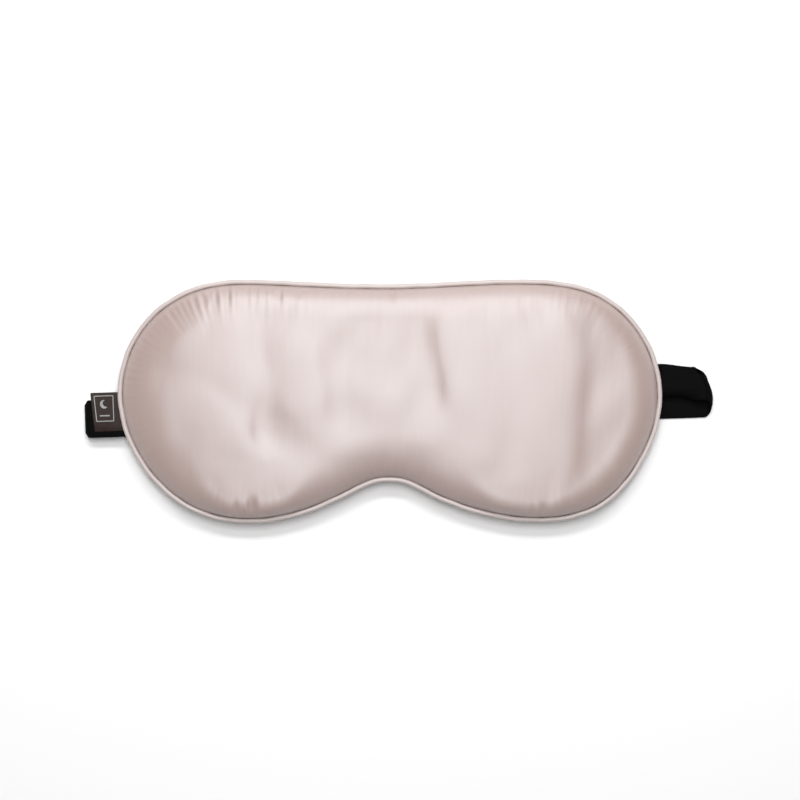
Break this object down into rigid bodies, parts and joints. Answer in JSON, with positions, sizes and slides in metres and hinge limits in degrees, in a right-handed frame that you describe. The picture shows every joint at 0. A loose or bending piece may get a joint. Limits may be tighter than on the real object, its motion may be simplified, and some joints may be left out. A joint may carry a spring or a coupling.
{
  "type": "sleep eye mask",
  "caption": "Padded satin sleep mask with piped edge, nose notch, and a black elastic strap with ring and slider folded behind it.",
  "frame": {"origin": "middle of the whole object on the surface that it rests on", "axes": "+Z out of the satin front, +Y towards the brow edge, +X towards the end of the slider side, on the right seen from the front"},
  "size_m": [0.2504, 0.0968, 0.0138],
  "materials": {
    "satin": "blush silk satin",
    "satin_back": "blush silk satin",
    "piping": "blush satin bias tape",
    "wadding": "white polyester wadding",
    "liner": "black woven liner",
    "cotton_cord": "twisted cotton",
    "pink_thread": "sewing thread",
    "elastic": "black knitted elastic",
    "black_thread": "sewing thread",
    "hardware": "black moulded nylon",
    "label": "dark taupe satin ribbon",
    "silver_thread": "silver thread"
  },
  "bodies": {
    "mask": {"front_panel": "satin", "front_wadding": "wadding", "blackout_liner": "liner", "back_wadding": "wadding", "back_panel": "satin_back", "piping_cord": "cotton_cord", "piping_tape": "piping", "seam_thread": "pink_thread", "left_strap_root": "elastic", "left_seam_tack": "black_thread", "right_strap_root": "elastic", "right_seam_tack": "black_thread", "label_root": "label"},
    "label": {"label_loop": "label", "label_frame": "silver_thread", "label_moon": "silver_thread", "label_dash": "silver_thread"},
    "left_lead": {"left_strap_lead": "elastic"},
    "left_run": {"left_strap_fold": "elastic", "left_strap_run": "elastic", "left_strap_loop": "elastic", "left_loop_tack": "black_thread"},
    "ring": {"ring": "hardware"},
    "right_lead": {"right_strap_lead": "elastic"},
    "right_run": {"right_strap_fold": "elastic", "right_strap_run": "elastic", "right_strap_feed": "elastic", "right_strap_outer_ply": "elastic", "right_strap_turn": "elastic", "right_strap_inner_ply": "elastic"},
    "slider": {"slider": "hardware", "right_strap_weave": "elastic", "right_strap_end": "elastic", "strap_end_tack": "black_thread"}
  },
  "joints": [
    {"name": "label_flap", "type": "hinge", "parent": "mask", "child": "label", "pos_m": [-0.11168, -0.00665, 0.00588], "axis": [-0.033, 0.9995, 0], "range_deg": [0, 90]},
    {"name": "left_strap_swing", "type": "hinge", "parent": "mask", "child": "left_lead", "pos_m": [-0.10489, -0.00643, 0.0051], "axis": [0.033, -0.9995, 0], "range_deg": [0, 90]},
    {"name": "left_strap_unfold", "type": "hinge", "parent": "left_lead", "child": "left_run", "pos_m": [-0.1222, -0.007, 0.00278], "axis": [-0.033, 0.9995, 0], "range_deg": [0, 127], "deforming": ["left_strap_fold"]},
    {"name": "ring_tilt", "type": "hinge", "parent": "left_run", "child": "ring", "pos_m": [-0.00494, -0.00313, 0.00245], "axis": [0.033, -0.9995, 0], "range_deg": [0, 28]},
    {"name": "right_strap_swing", "type": "hinge", "parent": "mask", "child": "right_lead", "pos_m": [0.1008, 0.00036, 0.0051], "axis": [-0.033, 0.9995, 0], "range_deg": [0, 91]},
    {"name": "right_strap_unfold", "type": "hinge", "parent": "right_lead", "child": "right_run", "pos_m": [0.12232, 0.00107, 0.00278], "axis": [0.033, -0.9995, 0], "range_deg": [0, 127], "deforming": ["right_strap_fold"]},
    {"name": "slider_slide", "type": "slide", "parent": "right_run", "child": "slider", "axis": [0.9995, 0.033, 0], "range_m": [-0.012, 0.034], "deforming": ["right_strap_feed", "right_strap_outer_ply", "right_strap_inner_ply"]}
  ],
  "couplings": [
    {"joint": "left_strap_unfold", "follows": "left_strap_swing", "ratio": 1.4043},
    {"joint": "ring_tilt", "follows": "left_strap_swing", "ratio": 0.299},
    {"joint": "right_strap_swing", "follows": "left_strap_swing", "ratio": 1.0061},
    {"joint": "right_strap_unfold", "follows": "left_strap_swing", "ratio": 1.3974}
  ]
}
